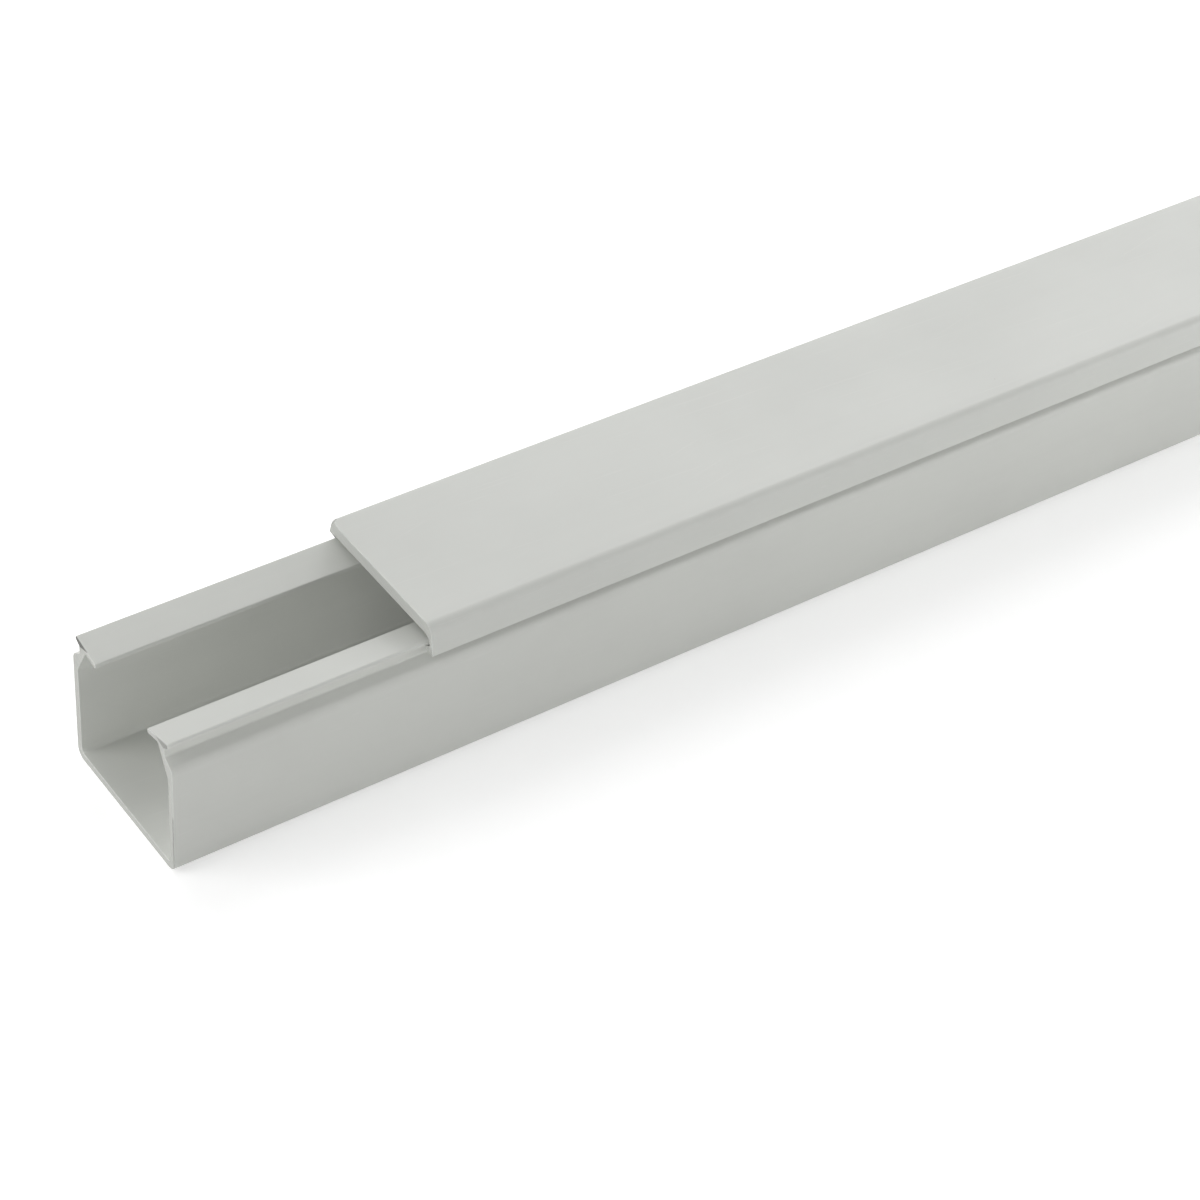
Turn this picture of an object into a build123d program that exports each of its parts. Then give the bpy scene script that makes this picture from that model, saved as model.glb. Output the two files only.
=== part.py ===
from build123d import *
import os
from math import atan2, cos, tan

# Cable trunking in two extruded lengths: an open channel and the cover that clips onto its lips.
# +X runs along the trunking, +Y across it, +Z up. The origin is the middle of the channel's back face.

# Overall sizes
length = 2000.0
width = 40.0
height = 40.0

# How far the cover is slid back from the channel's open end, the gap left between the two pieces where
# they meet, and the room that the cover's top leaves above the lips
cover_setback = 60.0
fit_gap = 0.3
lip_room = 1.4

# Channel: walls, floor and the rounded edges along its back
wall = 1.8
floor = 2.0
back_edge_radius = 2.5
inner_corner_radius = 0.9

# Channel: each wall leans in below its lip, so that the skirt of the cover lies flush with the wall. Its
# inner face starts to lean lower down than its outer one, and so the wall thickens into its neck
lean_rise = 2.0
lean_bend_radius = 2.6
inner_lean_rise = 7.2
inner_bend_radius = 2.0
neck_wall = 2.6
neck_bend_radius = 0.6
shadow_line = 0.75

# Channel: the lip on each wall falls towards the inside. Its nose outside has a round top, and is undercut
# at a slant for the hook
lip_width = 8.1
lip_drop = 1.9
lip_thickness = 1.35
lip_edge_radius = 0.35
lip_root_radius = 0.6
nose_thickness = 1.1
nose_slant = 0.1
nose_undercut = 0.9
nose_radius = 0.5
nose_edge_radius = 0.3

# Cover: top, shoulders, skirts and the hook inside each skirt
cover_top = 3.4
cover_shoulder_radius = 2.2
cover_root_radius = 1.6
skirt_wall = 1.2
skirt_flare = 0.3
skirt_edge_radius = 0.3
hook_bite = 1.4
hook_depth = 1.3
hook_nose = 0.4
hook_room = 0.3

# Fixing slots punched through the floor, each pair set out evenly about the middle
slot_length = 12.0
slot_width = 5.5
slot_pitch = 250.0
slot_count = 8

# Heights and insets where the two pieces meet; an inset is measured in from the wall's outer face
half_width = width / 2
lip_top = height - cover_top - lip_room
nose_inset = skirt_wall + fit_gap
nose_low_inset = nose_inset + nose_slant
nose_low = lip_top - nose_thickness
hook_tip_inset = skirt_wall + hook_bite
neck_inset = hook_tip_inset + hook_room
neck_inner_inset = neck_inset + neck_wall
lip_end_inset = nose_inset + lip_width
undercut_angle = atan2(nose_undercut, neck_inset - nose_low_inset)


def lip_underside(inset):
    """Height of the lip's sloping underside at this inset."""
    return lip_top - (inset - nose_inset) * lip_drop / lip_width - lip_thickness


def hook_surface(inset):
    """Height of the hook's slanted top at this inset, a fit gap away from the undercut of the nose."""
    return nose_low - (inset - nose_low_inset) * tan(undercut_angle) - fit_gap / cos(undercut_angle)


hook_top = hook_surface(hook_tip_inset)
skirt_bottom = hook_top - hook_depth
lean_top = skirt_bottom - shadow_line
lean_start = lean_top - lean_rise
inner_lean_start = lip_underside(neck_inner_inset) - inner_lean_rise

# Half of the channel's outline, from the middle of the back face round to the middle of the floor,
# each corner with the radius of its bend
base_corners = [
    (half_width, 0, back_edge_radius),
    (half_width, lean_start, lean_bend_radius),
    (half_width - neck_inset, lean_top, neck_bend_radius),
    (half_width - neck_inset, nose_low - nose_undercut, 0),
    (half_width - nose_low_inset, nose_low, nose_edge_radius),
    (half_width - nose_inset, lip_top, nose_radius),
    (half_width - lip_end_inset, lip_top - lip_drop, lip_edge_radius),
    (half_width - lip_end_inset, lip_underside(lip_end_inset), lip_edge_radius),
    (half_width - neck_inner_inset, lip_underside(neck_inner_inset), lip_root_radius),
    (half_width - wall, inner_lean_start, inner_bend_radius),
    (half_width - wall, floor, inner_corner_radius),
]

with BuildPart() as trunking_base:
    with BuildSketch(Plane.YZ.offset(-length / 2)) as base_section:
        with BuildLine() as base_outline:
            FilletPolyline(
                (0, 0),
                *[(across, up) for across, up, bend in base_corners],
                (0, floor),
                radius=[bend for across, up, bend in base_corners],
            )
            mirror(about=Plane.YZ)
        make_face()
    extrude(amount=length)

    with BuildSketch(Plane.XY.offset(floor)) as fixing_slots:
        with GridLocations(slot_pitch, 0, slot_count, 1):
            SlotOverall(slot_length, slot_width)
    extrude(amount=-floor, mode=Mode.SUBTRACT)

# Half of the cover's outline, from the middle of its top round the skirt and hook to its underside
cover_corners = [
    (half_width - skirt_flare, height, cover_shoulder_radius),
    (half_width, skirt_bottom, skirt_edge_radius),
    (half_width - skirt_wall, skirt_bottom, skirt_edge_radius),
    (half_width - hook_tip_inset, hook_top - hook_nose, 0),
    (half_width - hook_tip_inset, hook_top, 0),
    (half_width - skirt_wall, hook_surface(skirt_wall), 0),
    (half_width - skirt_wall, height - cover_top, cover_root_radius),
]

with BuildPart() as trunking_cover:
    with BuildSketch(Plane.YZ.offset(cover_setback - length / 2)) as cover_section:
        with BuildLine() as cover_outline:
            FilletPolyline(
                (0, height),
                *[(across, up) for across, up, bend in cover_corners],
                (0, height - cover_top),
                radius=[bend for across, up, bend in cover_corners],
            )
            mirror(about=Plane.YZ)
        make_face()
    extrude(amount=length)

os.makedirs("parts", exist_ok=True)
trunking_base.part.label = "trunking_base"
export_step(trunking_base.part, "parts/trunking_base.step")
trunking_cover.part.label = "trunking_cover"
export_step(trunking_cover.part, "parts/trunking_cover.step")
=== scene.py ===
from math import atan2, ceil, cos, hypot, pi, radians, sin, tan

import bpy
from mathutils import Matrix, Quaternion, Vector, noise


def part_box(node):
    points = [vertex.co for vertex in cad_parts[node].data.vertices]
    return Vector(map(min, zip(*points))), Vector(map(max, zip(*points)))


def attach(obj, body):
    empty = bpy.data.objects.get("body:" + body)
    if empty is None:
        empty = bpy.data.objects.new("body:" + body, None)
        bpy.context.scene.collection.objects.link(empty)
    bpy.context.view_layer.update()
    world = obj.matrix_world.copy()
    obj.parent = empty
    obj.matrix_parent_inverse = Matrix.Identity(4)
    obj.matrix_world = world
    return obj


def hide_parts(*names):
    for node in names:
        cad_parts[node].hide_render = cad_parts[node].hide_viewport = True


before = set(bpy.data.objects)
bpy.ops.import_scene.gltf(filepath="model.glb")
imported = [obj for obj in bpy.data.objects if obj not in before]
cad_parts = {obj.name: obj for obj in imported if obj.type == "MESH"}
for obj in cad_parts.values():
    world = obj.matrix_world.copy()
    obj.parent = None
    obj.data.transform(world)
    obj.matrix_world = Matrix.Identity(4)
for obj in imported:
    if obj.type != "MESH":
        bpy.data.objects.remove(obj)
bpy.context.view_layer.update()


# The channel is the length that is screwed to the wall. It is grey PVC, pushed hot through a die as one
# U whose walls lean in to a neck with a T-shaped lip, then sawn square at both ends and punched along
# its back with slots for the screws.
mm = 0.001
base_low, base_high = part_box("trunking_base")
cover_low, cover_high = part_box("trunking_cover")
half_width = base_high.y
height = cover_high.z

wall = 1.8 * mm
floor = 2.0 * mm
back_edge_radius = 2.5 * mm
inner_corner_radius = 0.9 * mm
lean_rise = 2.0 * mm
lean_bend_radius = 2.6 * mm
inner_lean_rise = 7.2 * mm
inner_bend_radius = 2.0 * mm
neck_wall = 2.6 * mm
neck_bend_radius = 0.6 * mm
shadow_line = 0.75 * mm
lip_width = 8.1 * mm
lip_drop = 1.9 * mm
lip_thickness = 1.35 * mm
lip_edge_radius = 0.35 * mm
lip_root_radius = 0.6 * mm
nose_thickness = 1.1 * mm
nose_slant = 0.1 * mm
nose_undercut = 0.9 * mm
nose_radius = 0.5 * mm
nose_edge_radius = 0.3 * mm
slot_length = 12.0 * mm
slot_width = 5.5 * mm
slot_pitch = 250.0 * mm
slot_count = 8

# What the channel's lip and the cover's hook share, so that the two sections fit each other
cover_top = 3.4 * mm
skirt_wall = 1.2 * mm
hook_bite = 1.4 * mm
hook_depth = 1.3 * mm
hook_room = 0.3 * mm
fit_gap = 0.3 * mm
lip_room = 1.4 * mm

lip_top = height - cover_top - lip_room
nose_inset = skirt_wall + fit_gap
nose_low_inset = nose_inset + nose_slant
nose_low = lip_top - nose_thickness
hook_tip_inset = skirt_wall + hook_bite
neck_inset = hook_tip_inset + hook_room
neck_inner_inset = neck_inset + neck_wall
lip_end_inset = nose_inset + lip_width
undercut_angle = atan2(nose_undercut, neck_inset - nose_low_inset)


def lip_underside(inset):
    """Height of the lip's sloping underside, this far in from the wall's outer face."""
    return lip_top - (inset - nose_inset) * lip_drop / lip_width - lip_thickness


def hook_surface(inset):
    """Height of the hook's slanted top at this inset, a fit gap away from the undercut of the nose."""
    return nose_low - (inset - nose_low_inset) * tan(undercut_angle) - fit_gap / cos(undercut_angle)


hook_top = hook_surface(hook_tip_inset)
skirt_bottom = hook_top - hook_depth
lean_top = skirt_bottom - shadow_line
lean_start = lean_top - lean_rise
inner_lean_start = lip_underside(neck_inner_inset) - inner_lean_rise

channel_corners = [
    (0, 0, 0),
    (half_width, 0, back_edge_radius),
    (half_width, lean_start, lean_bend_radius),
    (half_width - neck_inset, lean_top, neck_bend_radius),
    (half_width - neck_inset, nose_low - nose_undercut, 0),
    (half_width - nose_low_inset, nose_low, nose_edge_radius),
    (half_width - nose_inset, lip_top, nose_radius),
    (half_width - lip_end_inset, lip_top - lip_drop, lip_edge_radius),
    (half_width - lip_end_inset, lip_underside(lip_end_inset), lip_edge_radius),
    (half_width - neck_inner_inset, lip_underside(neck_inner_inset), lip_root_radius),
    (half_width - wall, inner_lean_start, inner_bend_radius),
    (half_width - wall, floor, inner_corner_radius),
    (0, floor, 0),
]

arc_step = radians(9)
run_step = 2.5 * mm


def section_outline(corners):
    """The closed outline (across, up) of a section, from one half's corners (across, up, radius).
    Rounded corners become arcs, and long runs are divided so that they can bow."""
    bends = [Vector(corners[0][:2])]
    for before, here, after in zip(corners, corners[1:], corners[2:]):
        corner, radius = Vector(here[:2]), here[2]
        back = (Vector(before[:2]) - corner).normalized()
        onward = (Vector(after[:2]) - corner).normalized()
        turn = pi - back.angle(onward)
        reach = radius * tan(turn / 2)
        middle = corner + (back + onward).normalized() * hypot(reach, radius)
        first = (corner + back * reach - middle).normalized()
        last = (corner + onward * reach - middle).normalized()
        steps = ceil(turn / arc_step) if radius else 0
        for step in range(steps + 1):
            spoke = first.slerp(last, step / steps) if steps else Vector((0, 0))
            bends.append(middle + spoke * radius)
    bends.append(Vector(corners[-1][:2]))
    half = []
    for start, end in zip(bends, bends[1:]):
        steps = max(1, ceil((end - start).length / run_step))
        half += [start.lerp(end, step / steps) for step in range(steps)]
    half.append(bends[-1])
    return half + [Vector((-point.x, point.y)) for point in reversed(half[1:-1])]


def outward_directions(outline):
    """The direction that points out of the plastic at each point of a section's outline."""
    directions = []
    for before, after in zip(outline[-1:] + outline[:-1], outline[1:] + outline[:1]):
        along = (after - before).normalized()
        directions.append(Vector((along.y, -along.x)))
    return directions


# How far the die's walls wander in from the true section along the length, and the small round that the
# saw and its deburring leave on each cut edge, which is a little ragged
wander = 0.05 * mm
wander_along = 4.0
wander_across = 45.0
arris = 0.14 * mm
arris_steps = 4
ragged_share = 0.5
ragged_along = 50
ragged_across = 900


def wandered(x, point, outward):
    """A point of the section at this place along the length, drawn in by the wander of the die."""
    along = Vector((x * wander_along, point.x * wander_across, point.y * wander_across))
    return point - outward * wander * (0.5 + 0.5 * noise.noise(along))


def arris_at(x, point):
    """The size of the rounded arris at this point of a sawn edge."""
    along = Vector((x * ragged_along, point.x * ragged_across, point.y * ragged_across))
    return arris * (1 + ragged_share * noise.noise(along))


# Keeps a length that divides evenly from getting one step more
rounding = 1e-6


def stations_between(fixed, longest):
    """Places along the length: the fixed ones, with even steps between them no longer than this."""
    places = []
    for start, end in zip(fixed, fixed[1:]):
        steps = max(1, ceil((end - start) / longest - rounding))
        places += [start + (end - start) * step / steps for step in range(steps)]
    return places + [fixed[-1]]


def extruded(outline, low, high, stations, set_back):
    """Vertices, how much each is cut surface (0 to 1) and faces of a sawn length of this section.
    Each end closes with a small rounded arris and a flat sawn face. The near end's cut is a little out
    of square: at each point of the section it stands back from the true end plane by set_back(point)."""
    outward = outward_directions(outline)
    rows = []
    for step in range(arris_steps, -1, -1):
        rows.append((low, 1, radians(90) * step / arris_steps))
    rows += [(x, 0, 0) for x in stations]
    for step in range(arris_steps + 1):
        rows.append((high, -1, radians(90) * step / arris_steps))
    vertices, cut = [], []
    for x, into, lean in rows:
        for point, out in zip(outline, outward):
            ragged = arris_at(x, point)
            trimmed = wandered(x, point, out) - out * ragged * (1 - cos(lean))
            moved = max(into, 0) * set_back(point) + into * ragged * (1 - sin(lean))
            vertices.append((x + moved, trimmed.x, trimmed.y))
            cut.append(lean / radians(90))
    count = len(outline)
    faces = {}
    for row in range(len(rows) - 1):
        for spot in range(count):
            here = row * count + spot
            beside = row * count + (spot + 1) % count
            faces[row, spot] = (here, beside, beside + count, here + count)
    faces["low"] = tuple(reversed(range(count)))
    faces["high"] = tuple(range(len(vertices) - count, len(vertices)))
    return vertices, cut, faces


# Where two faces meet at more than this, their edge stays sharp in the shading
crease_angle = radians(38)


def add_piece(name, vertices, cut, faces):
    """A shown piece made of these faces, with the share of cut surface kept on its points. Points that
    no face uses, such as those of the plastic that was punched away, are left out."""
    used = sorted({spot for face in faces for spot in face})
    number = {spot: order for order, spot in enumerate(used)}
    used_faces = [[number[spot] for spot in face] for face in faces]
    mesh = bpy.data.meshes.new(name)
    mesh.from_pydata([vertices[spot] for spot in used], [], used_faces)
    mesh.attributes.new("cut", "FLOAT", "POINT").data.foreach_set("value", [cut[spot] for spot in used])
    mesh.shade_smooth()
    mesh.set_sharp_from_angle(angle=crease_angle)
    piece = bpy.data.objects.new(name, mesh)
    bpy.context.scene.collection.objects.link(piece)
    true_flats = piece.modifiers.new("true_flats", "WEIGHTED_NORMAL")
    true_flats.keep_sharp = True
    return piece


channel_outline = section_outline(channel_corners)
channel_saw_lean = 0.0248


def channel_set_back(point):
    """How far back the channel's near cut stands: the saw leaned, so more towards the back face."""
    return channel_saw_lean * (height - point.y)


# The places along the length that have points: both ends, even steps, and a close patch for each slot
end_step = 2.5 * mm
station_step = 12.5 * mm
slot_places = [(number - (slot_count - 1) / 2) * slot_pitch for number in range(slot_count)]
patch_length = 20.0 * mm
patch_steps = 16
patch_side_cells = 2
patch_shares = [step / patch_steps - 0.5 for step in range(patch_steps + 1)]
channel_places = [base_low.x + end_step, base_high.x - end_step]
for slot_place in slot_places:
    channel_places += [slot_place + patch_length * share for share in patch_shares]
channel_stations = stations_between(sorted(channel_places), station_step)
vertices, cut, faces = extruded(channel_outline, base_low.x, base_high.x, channel_stations, channel_set_back)

# The punch enters from inside, where it rolls the slot's rim in, and leaves a smaller round on the back
punch_rim_inside = 0.25 * mm
punch_rim_back = 0.12 * mm
punch_rim_steps = 4


def slot_point(share, radius):
    """A point (along, across) of a slot with this end radius, this share of the way round its +X tip."""
    straight = (slot_length - slot_width) / 2
    bend = slot_width / 2 * radians(90)
    turn = share % 1 * 4
    fold = turn % 2
    travel = (straight + bend) * (2 - fold if fold > 1 else fold)
    angle = min(travel / bend, 1) * radians(90)
    along = straight - max(travel - bend, 0) + radius * cos(angle)
    across = radius * sin(angle)
    return (along if turn < 1 or turn > 3 else -along), (across if turn < 2 else -across)


def patch_edge(first_row, centre, count):
    """The points round the patch of plate that a slot is punched from, in the turning sense of its faces."""
    last_row, side = first_row + patch_steps, patch_side_cells
    loop = [(first_row, step) for step in range(-side, side)]
    loop += [(row, side) for row in range(first_row, last_row)]
    loop += [(last_row, step) for step in range(side, -side, -1)]
    loop += [(row, -side) for row in range(last_row, first_row, -1)]
    return [row * count + (centre + step) % count for row, step in loop]


def punch_slot(slot_place):
    """Punch the slot centred on this place. The faces of its patch, on the floor and on the back, give
    way to a rounded bore through the channel's floor."""
    count = len(channel_outline)
    start = slot_place - patch_length / 2
    nearest = min(range(len(channel_stations)), key=lambda spot: abs(channel_stations[spot] - start))
    first_row = arris_steps + 1 + nearest
    for row in range(first_row, first_row + patch_steps):
        for step in range(-patch_side_cells, patch_side_cells):
            del faces[row, step % count]
            del faces[row, count // 2 + step]
    floor_edge = patch_edge(first_row, count // 2, count)
    back_edge = patch_edge(first_row, 0, count)
    around = 2 * len(floor_edge)
    leans = [radians(90) * step / punch_rim_steps for step in range(punch_rim_steps + 1)]
    levels = [(floor, -1, punch_rim_inside, lean) for lean in leans]
    levels += [(0, 1, punch_rim_back, lean) for lean in reversed(leans)]
    first_spot = len(vertices)
    for level, inward, rim, lean in levels:
        for spot in range(around):
            share = 0.5 - patch_side_cells / len(floor_edge) + spot / around
            along, across = slot_point(share, slot_width / 2 + rim * (1 - sin(lean)))
            face_point = wandered(slot_place + along, Vector((across, level)), Vector((0, -inward)))
            vertices.append((slot_place + along, across, face_point.y + inward * rim * (1 - cos(lean))))
            cut.append(lean / radians(90))
    rings = [[first_spot + ring * around + spot for spot in range(around)] for ring in range(len(levels))]
    bore = [
        (upper[spot - 1], upper[spot], lower[spot], lower[spot - 1])
        for upper, lower in zip(rings, rings[1:])
        for spot in range(around)
    ]
    turned = [rings[-1][(4 * patch_side_cells - spot) % around] for spot in range(around)]
    for edge, ring in ((floor_edge, rings[0]), (back_edge, turned)):
        for spot in range(len(edge)):
            after = (spot + 1) % len(edge)
            bore.append((edge[spot], edge[after], ring[2 * after], ring[2 * spot + 1], ring[2 * spot]))
    return bore


for number, slot_place in enumerate(slot_places):
    for spot, face in enumerate(punch_slot(slot_place)):
        faces["slot", number, spot] = face
channel = add_piece("channel", vertices, cut, list(faces.values()))
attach(channel, "base")
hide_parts("trunking_base")


def shader_group(name, inputs, output):
    """A shader node group with these number inputs and one number output, with its two end nodes."""
    group = bpy.data.node_groups.new(name, "ShaderNodeTree")
    for socket, value in inputs.items():
        number_input = group.interface.new_socket(socket, in_out="INPUT", socket_type="NodeSocketFloat")
        number_input.default_value = value
    group.interface.new_socket(output, in_out="OUTPUT", socket_type="NodeSocketFloat")
    return group, group.nodes.new("NodeGroupInput"), group.nodes.new("NodeGroupOutput")


def add_node(tree, kind, inputs=(), **settings):
    """A node of this kind. Each input is a number or colour to set, or the output that feeds it."""
    node = tree.nodes.new(kind)
    for setting, value in settings.items():
        setattr(node, setting, value)
    for socket, value in dict(inputs).items():
        if isinstance(value, bpy.types.NodeSocket):
            tree.links.new(value, node.inputs[socket])
        else:
            node.inputs[socket].default_value = value
    return node


def add_math(tree, operation, first, second=0.0):
    """The output of a Math node with these one or two inputs."""
    return add_node(tree, "ShaderNodeMath", {0: first, 1: second}, operation=operation).outputs[0]


def added(tree, first, second):
    """The output of two numbers added."""
    return add_math(tree, "ADD", first, second)


def subtracted(tree, first, second):
    """The output of the first number less the second."""
    return add_math(tree, "SUBTRACT", first, second)


def multiplied(tree, first, second):
    """The output of two numbers multiplied."""
    return add_math(tree, "MULTIPLY", first, second)


def add_range(tree, value, start, end, low=0.0, high=1.0):
    """The output of a smooth step from low to high as the value goes from start to end."""
    inputs = {"Value": value, "From Min": start, "From Max": end, "To Min": low, "To Max": high}
    return add_node(tree, "ShaderNodeMapRange", inputs, interpolation_type="SMOOTHSTEP").outputs[0]


def position(tree):
    """The output that gives a surface point's place in metres, in the piece's own frame."""
    return add_node(tree, "ShaderNodeTexCoord").outputs["Object"]


def stretched(tree, vector, amounts):
    """The output of a vector whose three parts are multiplied by these amounts."""
    return add_node(tree, "ShaderNodeVectorMath", {0: vector, 1: amounts}, operation="MULTIPLY").outputs[0]


def length_of(tree, vector):
    """The output that gives a vector's length."""
    return add_node(tree, "ShaderNodeVectorMath", {0: vector}, operation="LENGTH").outputs["Value"]


# Streaks that the die draws along the length: fine across the section, slow along it
die_streaks, given, result = shader_group("die_streaks", {"Along": 2.0, "Across": 500.0}, "Streak")
fine = given.outputs["Across"]
amounts = {0: given.outputs["Along"], 1: fine, 2: fine}
stretch = add_node(die_streaks, "ShaderNodeCombineXYZ", amounts).outputs[0]
drawn = stretched(die_streaks, position(die_streaks), stretch)
streaky = add_node(die_streaks, "ShaderNodeTexNoise", {"Vector": drawn, "Scale": 1.0, "Detail": 4.0})
die_streaks.links.new(streaky.outputs[0], result.inputs["Streak"])

# Broad soft patches, as the melt cools unevenly on the calibrator
cooling_patches, given, result = shader_group("cooling_patches", {"Scale": 30.0}, "Patch")
where = position(cooling_patches)
clouds = {"Vector": where, "Scale": given.outputs["Scale"], "Detail": 3.0, "Roughness": 0.55}
cloudy = add_node(cooling_patches, "ShaderNodeTexNoise", clouds)
spread = add_range(cooling_patches, cloudy.outputs[0], 0.3, 0.7)
cooling_patches.links.new(spread, result.inputs["Patch"])

# Lines that the blade leaves on a sawn face: arcs about the blade's middle, a little unevenly spaced
blade_radius = 125.0 * mm
blade_angle = radians(60)
blade_middle = (0, blade_radius * cos(blade_angle), -blade_radius * sin(blade_angle))
saw_lines, given, result = shader_group("saw_lines", {"Pitch": 0.5}, "Line")
ends = {0: position(saw_lines), 1: blade_middle}
from_middle = add_node(saw_lines, "ShaderNodeVectorMath", ends, operation="SUBTRACT").outputs[0]
out_along_blade = length_of(saw_lines, stretched(saw_lines, from_middle, (0, 1, 1)))
in_millimetres = add_math(saw_lines, "DIVIDE", out_along_blade, mm)
turns = add_math(saw_lines, "DIVIDE", in_millimetres, given.outputs["Pitch"])
furrows = {"W": turns, "Scale": 1.0, "Detail": 2.0}
uneven = add_node(saw_lines, "ShaderNodeTexNoise", furrows, noise_dimensions="1D")
saw_lines.links.new(add_range(saw_lines, uneven.outputs[0], 0.25, 0.75), result.inputs["Line"])

# Light scuffs from packing and handling: sparse hair lines that lie a few degrees off the length
hair_fineness = (35.0, 1400.0, 1400.0)
hair_softness = 0.08
scuffs, given, result = shader_group("handling_scuffs", {"Turn": 0.1, "Rarity": 0.66}, "Scuff")
swing = {"Vector": position(scuffs), "Angle": given.outputs["Turn"]}
askew = add_node(scuffs, "ShaderNodeVectorRotate", swing, rotation_type="Z_AXIS").outputs[0]
hairs = {"Vector": stretched(scuffs, askew, hair_fineness), "Scale": 1.0, "Detail": 1.0}
hair = add_node(scuffs, "ShaderNodeTexNoise", hairs).outputs[0]
rarity = given.outputs["Rarity"]
thin_lines = add_range(scuffs, hair, rarity, added(scuffs, rarity, hair_softness))
scuffs.links.new(thin_lines, result.inputs["Scuff"])

# Tiny dark nibs of scorched resin, few and far between: most cells of the pattern hold none
clean_cells = 0.8
nibs, given, result = shader_group("resin_nibs", {"Scale": 160.0, "Size": 0.02}, "Nib")
cells = add_node(nibs, "ShaderNodeTexVoronoi", {"Vector": position(nibs), "Scale": given.outputs["Scale"]})
near = add_range(nibs, cells.outputs["Distance"], given.outputs["Size"], 0.0)
chance = add_node(nibs, "ShaderNodeSeparateColor", {0: cells.outputs["Color"]}).outputs[0]
chosen = add_math(nibs, "GREATER_THAN", chance, clean_cells)
nibs.links.new(multiplied(nibs, near, chosen), result.inputs["Nib"])


def mixed(tree, share, first, second):
    """The colour between two colours, this share of the way to the second."""
    inputs = {0: share, 6: first, 7: second}
    return add_node(tree, "ShaderNodeMix", inputs, data_type="RGBA").outputs[2]


def mixed_number(tree, share, first, second):
    """The number between two numbers, this share of the way to the second."""
    inputs = {0: share, 2: first, 3: second}
    return add_node(tree, "ShaderNodeMix", inputs, data_type="FLOAT").outputs[0]


def placed_group(tree, group, **inputs):
    """The output of a shader group placed in a material with its own values."""
    node = add_node(tree, "ShaderNodeGroup", node_tree=group)
    for socket, value in inputs.items():
        node.inputs[socket].default_value = value
    return node.outputs[0]


# What all of this PVC has alike: how much the patches and the streaks tint it, how the finer streaks and
# the crossing scuffs differ from the first ones, and how rough and how high, in millimetres, each mark is
patch_tint = 0.6
streak_tint = 0.4
finer_along = 3
finer_across = 5
crossing_turn = -4
crossing_rarity = 0.03
scuff_colour = (0.78, 0.78, 0.76, 1)
nib_colour = (0.16, 0.14, 0.11, 1)
nib_strength = 0.55
patch_roughness = 0.05
scuff_roughness = 0.14
sawn_roughness = 0.72
scuff_height = -0.002
furrow_height = 0.018


def pvc_material(name, skin, sawn, look):
    """A piece's PVC: its drawn skin, and the duller sawn faces where the cut share of its points is 1, whose
    colour is painted darker than the skin as painted shade that offsets the strong light of the lamp at the
    open end.
    """
    material = bpy.data.materials.new(name)
    material.use_nodes = True
    tree = material.node_tree
    shader = tree.nodes["Principled BSDF"]
    shader.inputs["IOR"].default_value = 1.5
    along, across, turn, rarity = look["along"], look["across"], look["scuff_turn"], look["scuff_rarity"]
    cut_share = add_node(tree, "ShaderNodeAttribute", attribute_name="cut").outputs["Fac"]
    streak = placed_group(tree, die_streaks, Along=along, Across=across)
    fine_streak = placed_group(tree, die_streaks, Along=along * finer_along, Across=across * finer_across)
    patch = placed_group(tree, cooling_patches, Scale=look["patches"])
    line = placed_group(tree, saw_lines, Pitch=look["saw_pitch"])
    scuff = placed_group(tree, scuffs, Turn=turn, Rarity=rarity)
    crossing_scuff = placed_group(tree, scuffs, Turn=turn * crossing_turn, Rarity=rarity + crossing_rarity)
    nib = placed_group(tree, nibs, Scale=look["nibs"], Size=look["nib_size"])
    worn = add_math(tree, "MAXIMUM", scuff, crossing_scuff)

    tint = added(tree, multiplied(tree, patch, patch_tint), multiplied(tree, streak, streak_tint))
    drawn_skin = mixed(tree, tint, skin[0], skin[1])
    scuffed = mixed(tree, multiplied(tree, worn, look["scuff_light"]), drawn_skin, scuff_colour)
    specked = mixed(tree, multiplied(tree, nib, nib_strength), scuffed, nib_colour)
    # Sawn faces: real saw lines, on a colour painted darker than the skin as painted shade
    shaded_sawn_face = mixed(tree, line, sawn[0], sawn[1])
    tree.links.new(mixed(tree, cut_share, specked, shaded_sawn_face), shader.inputs["Base Color"])

    uneven_skin = added(tree, multiplied(tree, patch, patch_roughness), look["roughness"])
    rubbed = added(tree, uneven_skin, multiplied(tree, worn, scuff_roughness))
    tree.links.new(mixed_number(tree, cut_share, rubbed, sawn_roughness), shader.inputs["Roughness"])

    waves = multiplied(tree, streak, look["wave_height"])
    lines = multiplied(tree, fine_streak, look["line_height"])
    drawn_height = added(tree, added(tree, waves, lines), multiplied(tree, worn, scuff_height))
    relief = mixed_number(tree, cut_share, drawn_height, multiplied(tree, line, furrow_height))
    bump = add_node(tree, "ShaderNodeBump", {"Height": relief, "Distance": mm})
    tree.links.new(bump.outputs[0], shader.inputs["Normal"])
    return material


channel_skin = ((0.640, 0.652, 0.618, 1), (0.604, 0.614, 0.583, 1))
# The sawn colours are painted darker than the skin: painted shade against the end lamp's strong light
channel_sawn_shaded = ((0.340, 0.346, 0.326, 1), (0.294, 0.299, 0.282, 1))
channel_look = {
    "along": 1.6,
    "across": 420.0,
    "patches": 26.0,
    "saw_pitch": 0.45,
    "scuff_turn": 0.06,
    "scuff_rarity": 0.68,
    "scuff_light": 0.10,
    "nibs": 140.0,
    "nib_size": 0.022,
    "roughness": 0.42,
    "wave_height": 0.012,
    "line_height": 0.0015,
}
channel_pvc = pvc_material("channel_pvc", channel_skin, channel_sawn_shaded, channel_look)
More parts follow.
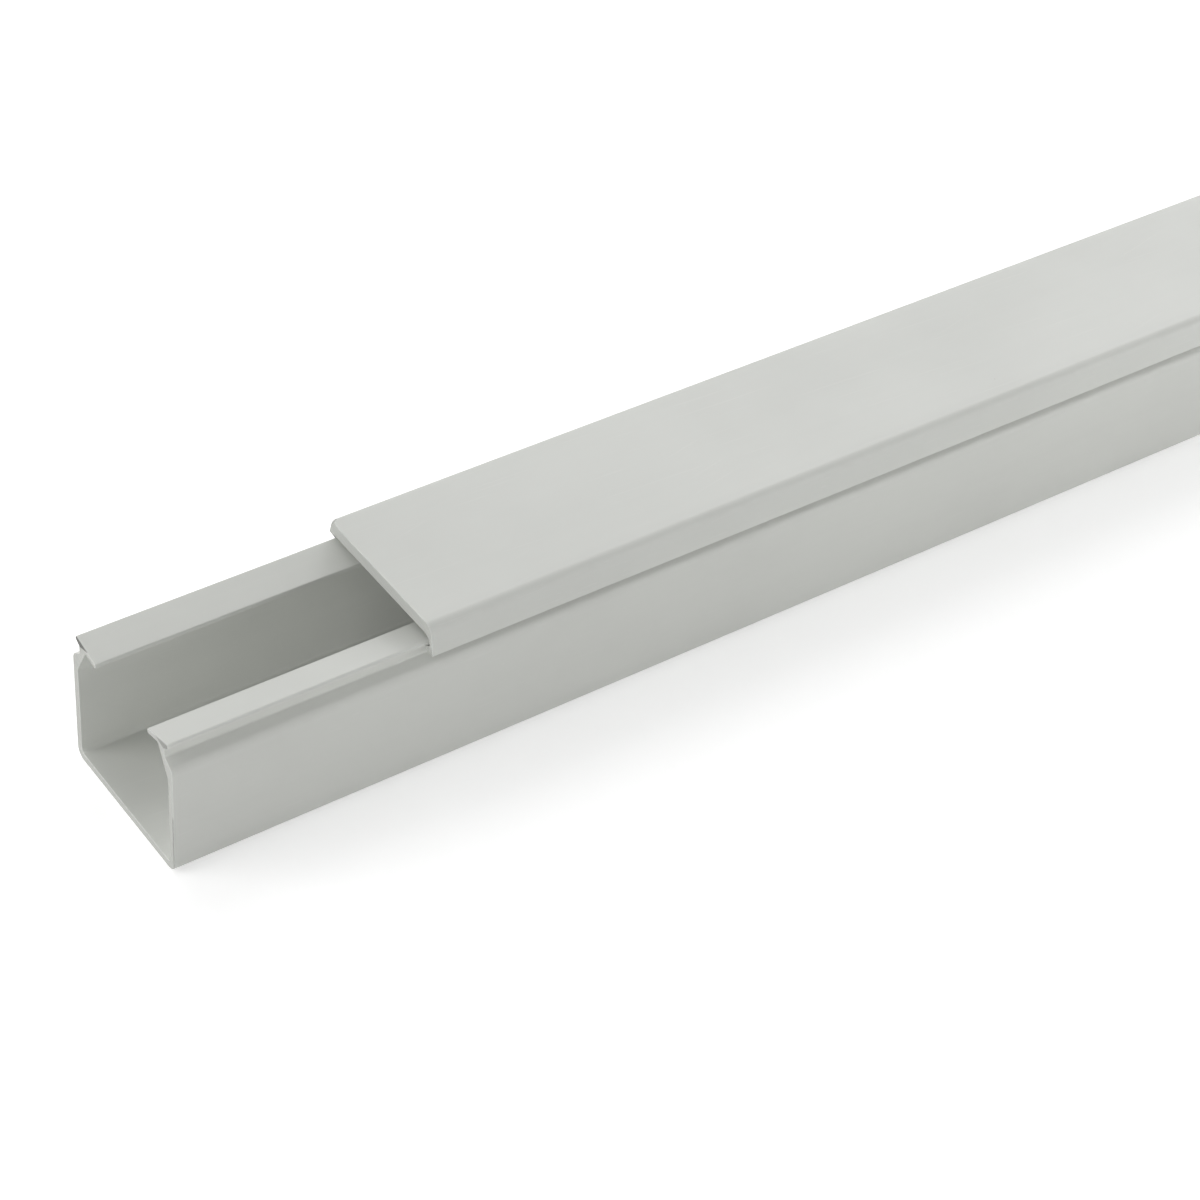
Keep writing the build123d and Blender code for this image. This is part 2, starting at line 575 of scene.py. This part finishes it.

# Painted shade on the channel's open end: the outer half of each lip's cut face is painted dark, widest at
# the nose and tapering to nothing half way across, and a thin painted shadow runs low on the outer edge of
# the near wall's cut face
painted_shade_colour = (0.05, 0.05, 0.045, 1)
painted_shade_strength = 0.9
lip_shade_reach = 5.2 * mm
lip_shade_depth = 2.6 * mm
lip_shade_softness = 0.2 * mm
near_lip_share = 0.55
line_share = 0.6
line_top = 17.0 * mm
line_fade = 2.0 * mm
line_width = 0.5 * mm
shade_full = base_low.x + 2 * mm
shade_gone = base_low.x + 3 * mm
tree = channel_pvc.node_tree
axes = add_node(tree, "ShaderNodeSeparateXYZ", {0: position(tree)}).outputs
from_nose = subtracted(tree, half_width - nose_inset, add_math(tree, "ABSOLUTE", axes["Y"]))
lip_surface = subtracted(tree, lip_top, multiplied(tree, from_nose, lip_drop / lip_width))
below_lip = subtracted(tree, lip_surface, axes["Z"])
taper = multiplied(tree, subtracted(tree, lip_shade_reach, from_nose), lip_shade_depth / lip_shade_reach)
within = add_range(tree, subtracted(tree, taper, below_lip), 0.0, lip_shade_softness)
on_lip = add_range(tree, axes["Z"], hook_top, hook_top + fit_gap)
at_end = add_range(tree, axes["X"], shade_gone, shade_full)
cut_share = add_node(tree, "ShaderNodeAttribute", attribute_name="cut").outputs["Fac"]
on_cut = multiplied(tree, cut_share, at_end)
lip_side = add_range(tree, axes["Y"], -mm, mm, near_lip_share, 1.0)
# Painted shade over the outer half of each lip's cut face, lighter on the near lip
lip_shade = multiplied(tree, multiplied(tree, within, on_lip), multiplied(tree, on_cut, lip_side))
outer_edge = add_range(tree, axes["Y"], line_width - half_width, line_width / 2 - half_width)
low_down = add_range(tree, axes["Z"], line_top, line_top - line_fade)
# Painted shadow along the lower part of the near wall's outer cut edge
edge_shade = multiplied(tree, multiplied(tree, outer_edge, low_down), on_cut)
painted_shade = add_math(tree, "MAXIMUM", lip_shade, multiplied(tree, edge_shade, line_share))
base_colour = tree.nodes["Principled BSDF"].inputs["Base Color"]
unshaded = base_colour.links[0].from_socket
# Both painted shades darken the channel's colour towards a near black
tree.links.new(mixed(tree, multiplied(tree, painted_shade, painted_shade_strength), unshaded, painted_shade_colour), base_colour)
channel.data.materials.append(channel_pvc)


# The cover is a second extruded length of the same PVC, shown slid back from the channel's open end.
# Its skirts are sprung over the lips, and the hook inside each holds under the lip's slanted nose.
skirt_flare = 0.3 * mm
cover_shoulder_radius = 2.2 * mm
cover_root_radius = 1.6 * mm
skirt_edge_radius = 0.3 * mm
hook_nose = 0.4 * mm
hook_edge_radius = 0.15 * mm
cover_corners = [
    (0, height, 0),
    (half_width - skirt_flare, height, cover_shoulder_radius),
    (half_width, skirt_bottom, skirt_edge_radius),
    (half_width - skirt_wall, skirt_bottom, skirt_edge_radius),
    (half_width - hook_tip_inset, hook_top - hook_nose, hook_edge_radius),
    (half_width - hook_tip_inset, hook_top, hook_edge_radius),
    (half_width - skirt_wall, hook_surface(skirt_wall), hook_edge_radius),
    (half_width - skirt_wall, height - cover_top, cover_root_radius),
    (0, height - cover_top, 0),
]
cover_outline = section_outline(cover_corners)
cover_outline.reverse()

# The near cut: the saw's lean for each unit of height, the nick down the far skirt with its top, slope and
# greatest depth, and the slope of the blunt shoulder above it
cover_saw_lean = 0.098
nick_top = 36.2 * mm
nick_lean = 1.3
nick_depth = 2.2 * mm
nick_side = half_width - hook_tip_inset
nick_fade = hook_tip_inset / 2
blunt_lean = 0.5
cover_end_step = 2 * end_step


def cover_set_back(point):
    """How far back the cover's near cut stands. The saw leaned, and it nicked the far skirt and blunted
    the shoulder above it."""
    far = min(max(point.x - nick_side, 0) / nick_fade, 1)
    nick = min(max(nick_top - point.y, 0) * nick_lean, nick_depth)
    blunt = max(point.y - nick_top, 0) * blunt_lean
    return cover_saw_lean * (height - point.y) + far * (nick + blunt)


cover_places = [cover_low.x + cover_end_step, cover_high.x - cover_end_step]
cover_stations = stations_between(cover_places, station_step)
vertices, cut, faces = extruded(cover_outline, cover_low.x, cover_high.x, cover_stations, cover_set_back)
cover = add_piece("cover", vertices, cut, list(faces.values()))
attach(cover, "cover")
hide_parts("trunking_cover")

cover_skin = ((0.638, 0.650, 0.618, 1), (0.606, 0.617, 0.587, 1))
# The sawn colours are painted darker than the skin: painted shade against the end lamp's strong light
cover_sawn_shaded = ((0.330, 0.336, 0.318, 1), (0.290, 0.296, 0.280, 1))
cover_look = {
    "along": 1.3,
    "across": 330.0,
    "patches": 19.0,
    "saw_pitch": 0.38,
    "scuff_turn": 0.05,
    "scuff_rarity": 0.66,
    "scuff_light": 0.14,
    "nibs": 120.0,
    "nib_size": 0.022,
    "roughness": 0.44,
    "wave_height": 0.014,
    "line_height": 0.0015,
}
cover.data.materials.append(pvc_material("cover_pvc", cover_skin, cover_sawn_shaded, cover_look))


# The floor is a plain white studio sweep. It keeps the trunking's soft shadow, and adds a share of its own
# white to what the camera and the glossy surfaces see, which fades the shadow and whitens the distance.
sweep_reach = 30.0
sweep_drop = 0.05 * mm
sweep_mesh = bpy.data.meshes.new("studio_floor")
sweep_sides = ((-1, -1), (1, -1), (1, 1), (-1, 1))
sweep_corners = [(x * sweep_reach, y * sweep_reach, -sweep_drop) for x, y in sweep_sides]
sweep_mesh.from_pydata(sweep_corners, [], [(0, 1, 2, 3)])
sweep = bpy.data.objects.new("studio_floor", sweep_mesh)
bpy.context.scene.collection.objects.link(sweep)


def seen_as_background(tree):
    """The output that is 1 for what the camera sees, also in a mirror or through glass, and 0 for the
    light that falls on the trunking."""
    rays = add_node(tree, "ShaderNodeLightPath").outputs
    bounced = add_math(tree, "MAXIMUM", rays["Is Glossy Ray"], rays["Is Transmission Ray"])
    return add_math(tree, "MAXIMUM", rays["Is Camera Ray"], bounced)


# The floor's own white, near the trunking and in the distance, how far away it starts and ends to grow,
# and the share of the way along the trunking that counts as distance
white_near = 0.44
white_far = 1.0
white_start = 0.3
white_end = 0.6
white_along = 0.2
paper_colour = (0.85, 0.85, 0.85, 1)
white = bpy.data.materials.new("studio_white")
white.use_nodes = True
tree = white.node_tree
tree.nodes.clear()
paper = add_node(tree, "ShaderNodeBsdfDiffuse", {"Color": paper_colour})
away = length_of(tree, stretched(tree, position(tree), (white_along, 1.0, 1.0)))
own_white = add_range(tree, away, white_start, white_end, white_near, white_far)
own_light = multiplied(tree, seen_as_background(tree), own_white)
glow = add_node(tree, "ShaderNodeEmission", {"Strength": own_light})
lit = add_node(tree, "ShaderNodeAddShader", {0: paper.outputs[0], 1: glow.outputs[0]})
clear = add_node(tree, "ShaderNodeBsdfTransparent")
underneath = add_node(tree, "ShaderNodeNewGeometry").outputs["Backfacing"]
surface = add_node(tree, "ShaderNodeMixShader", {0: underneath, 1: lit.outputs[0], 2: clear.outputs[0]})
add_node(tree, "ShaderNodeOutputMaterial", {"Surface": surface.outputs[0]})
sweep_mesh.materials.append(white)


# The light is plain and soft: a pale surround and wide boxes above and behind the trunking. Weaker ones
# stand before it and at its ends, to brighten the sawn faces and the wall that faces the camera, and one
# hangs over the place that the cover slides out to.
surround_light = 0.02
studio = bpy.data.worlds.new("studio")
studio.use_nodes = True
bpy.context.scene.world = studio
tree = studio.node_tree
air = tree.nodes["Background"]
air.inputs["Color"].default_value = (1, 1, 1, 1)
brightness = {"Value": seen_as_background(tree), "To Min": surround_light, "To Max": 1.0}
tree.links.new(add_node(tree, "ShaderNodeMapRange", brightness).outputs[0], air.inputs["Strength"])


open_end = Vector((base_low.x, 0, 0))


def softbox(name, place, towards, wide, tall, watts):
    """A studio lamp with a face this wide and tall. It stands at a place and is turned towards a point,
    both measured from the trunking's open end."""
    lamp = bpy.data.lights.new(name, "AREA")
    lamp.shape = "RECTANGLE"
    lamp.size = wide
    lamp.size_y = tall
    lamp.energy = watts
    box = bpy.data.objects.new(name, lamp)
    box.location = open_end + Vector(place)
    box.rotation_mode = "QUATERNION"
    box.rotation_quaternion = (Vector(towards) - Vector(place)).to_track_quat("-Z", "Y")
    box.visible_camera = False
    bpy.context.scene.collection.objects.link(box)


softbox("top_box", (-0.7, 0.3, 1.7), (0.2, 0, 0), 1.5, 1.5, 9.3)
softbox("rear_box", (1.0, 1.4, 1.4), (1.0, 0, 0), 3.0, 2.0, 20.6)
softbox("rear_right_box", (1.8, 1.0, 1.2), (0.4, 0, 0), 1.5, 1.5, 14.8)
softbox("rear_left_box", (-1.4, 0.6, 0.8), (0, 0, 0.02), 1.0, 0.8, 10.3)
softbox("front_box", (1.2, -0.5, 0.14), (1.2, 0, 0.02), 1.9, 0.2, 4.1)
softbox("end_box", (-1.6, -0.48, 0.2), (0, 0, 0.02), 0.8, 0.3, 23.8)
softbox("far_end_box", (3.4, -0.6, 0.9), (1.6, 0, 0), 1.2, 1.2, 2.5)
softbox("slid_cover_box", (3.0, -0.35, 0.7), (3.0, 0, 0.03), 2.0, 0.5, 6.5)


# The camera stands before the open end, above and to one side, as in a catalogue picture. It is turned
# round the point that it aims at, and tilted a little, as it was held.
lens = 97.35
aim = open_end + Vector((0.10934, -0.01246, 0.02))
distance = 0.69485
azimuth = radians(-39.97)
elevation = radians(41.44)
roll = radians(6.85)
camera = bpy.data.objects.new("camera", bpy.data.cameras.new("camera"))
camera.data.lens = lens
camera.data.clip_start = 0.01
backwards = Vector((sin(azimuth) * cos(elevation), -cos(azimuth) * cos(elevation), sin(elevation)))
camera.location = aim + backwards * distance
camera.rotation_mode = "QUATERNION"
camera.rotation_quaternion = (-backwards).to_track_quat("-Z", "Y") @ Quaternion((0, 0, 1), roll)
bpy.context.scene.collection.objects.link(camera)
bpy.context.scene.camera = camera
bpy.context.scene.view_settings.view_transform = "Standard"
